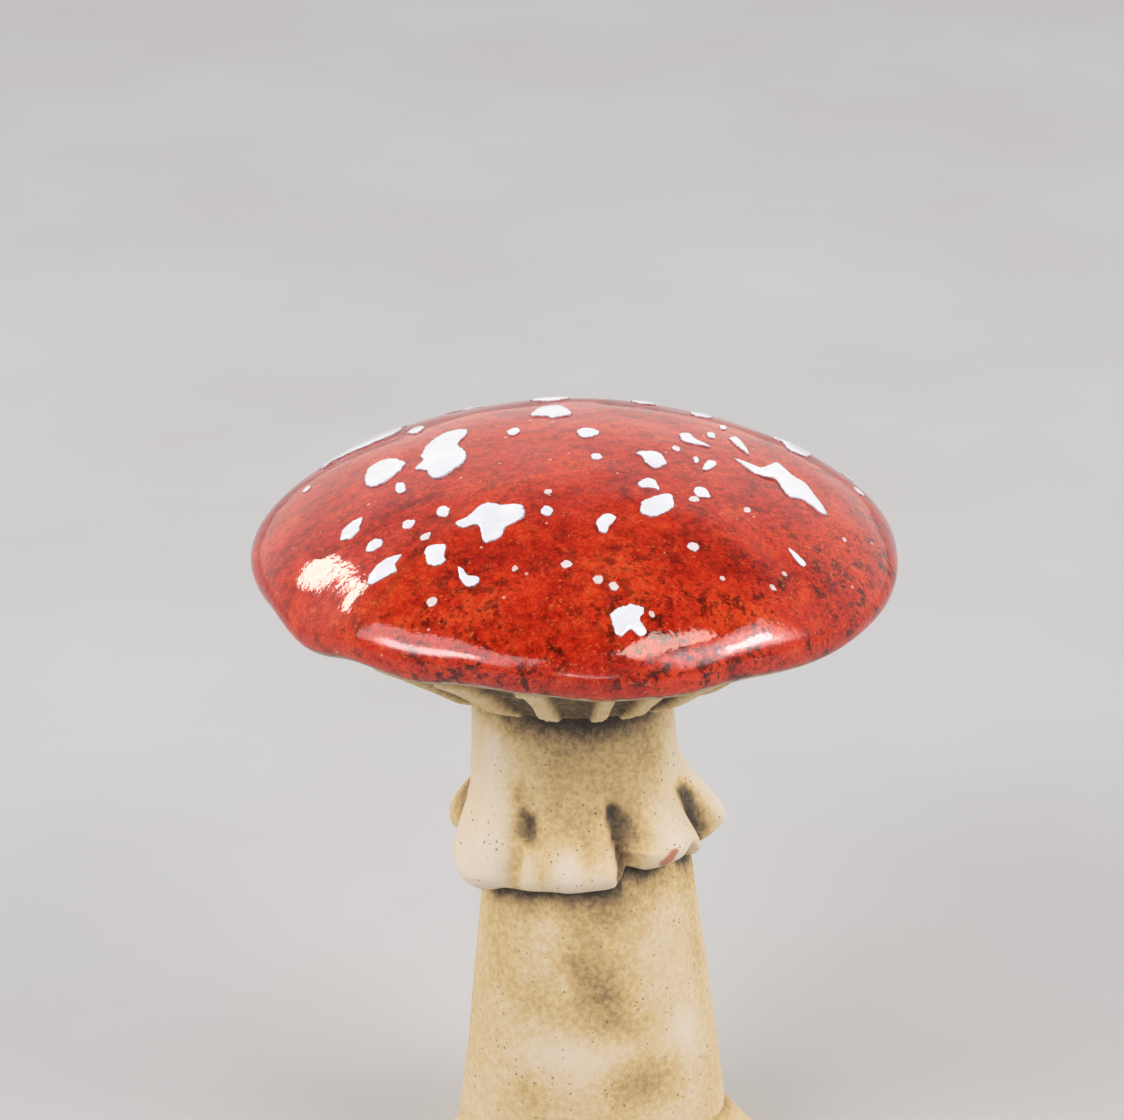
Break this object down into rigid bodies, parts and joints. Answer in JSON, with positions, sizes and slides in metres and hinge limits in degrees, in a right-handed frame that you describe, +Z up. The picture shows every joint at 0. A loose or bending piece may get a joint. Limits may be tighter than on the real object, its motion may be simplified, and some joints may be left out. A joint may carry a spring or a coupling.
{
  "type": "ceramic mushroom ornament",
  "caption": "Free-standing ceramic toadstool ornament: glossy domed red cap with raised white glaze spots, carved gills, ruffled skirt and hollow flared stem.",
  "frame": {"origin": "middle of the foot's flat underside, on the table", "axes": "+Z up along the stem, -Y towards the front, +X to the right seen from the front"},
  "size_m": [0.0998, 0.1002, 0.1278],
  "materials": {
    "red_glaze": "glossy, mottled red glaze",
    "white_glaze": "glossy, thick white glaze dabs",
    "cream_clay": "matt cream clay with a brown wash in the hollows"
  },
  "bodies": {
    "root": {"cap_dome": "red_glaze", "white_spots": "white_glaze", "gill_plate": "cream_clay", "stem": "cream_clay", "skirt": "cream_clay", "foot_collar": "cream_clay"}
  },
  "joints": []
}
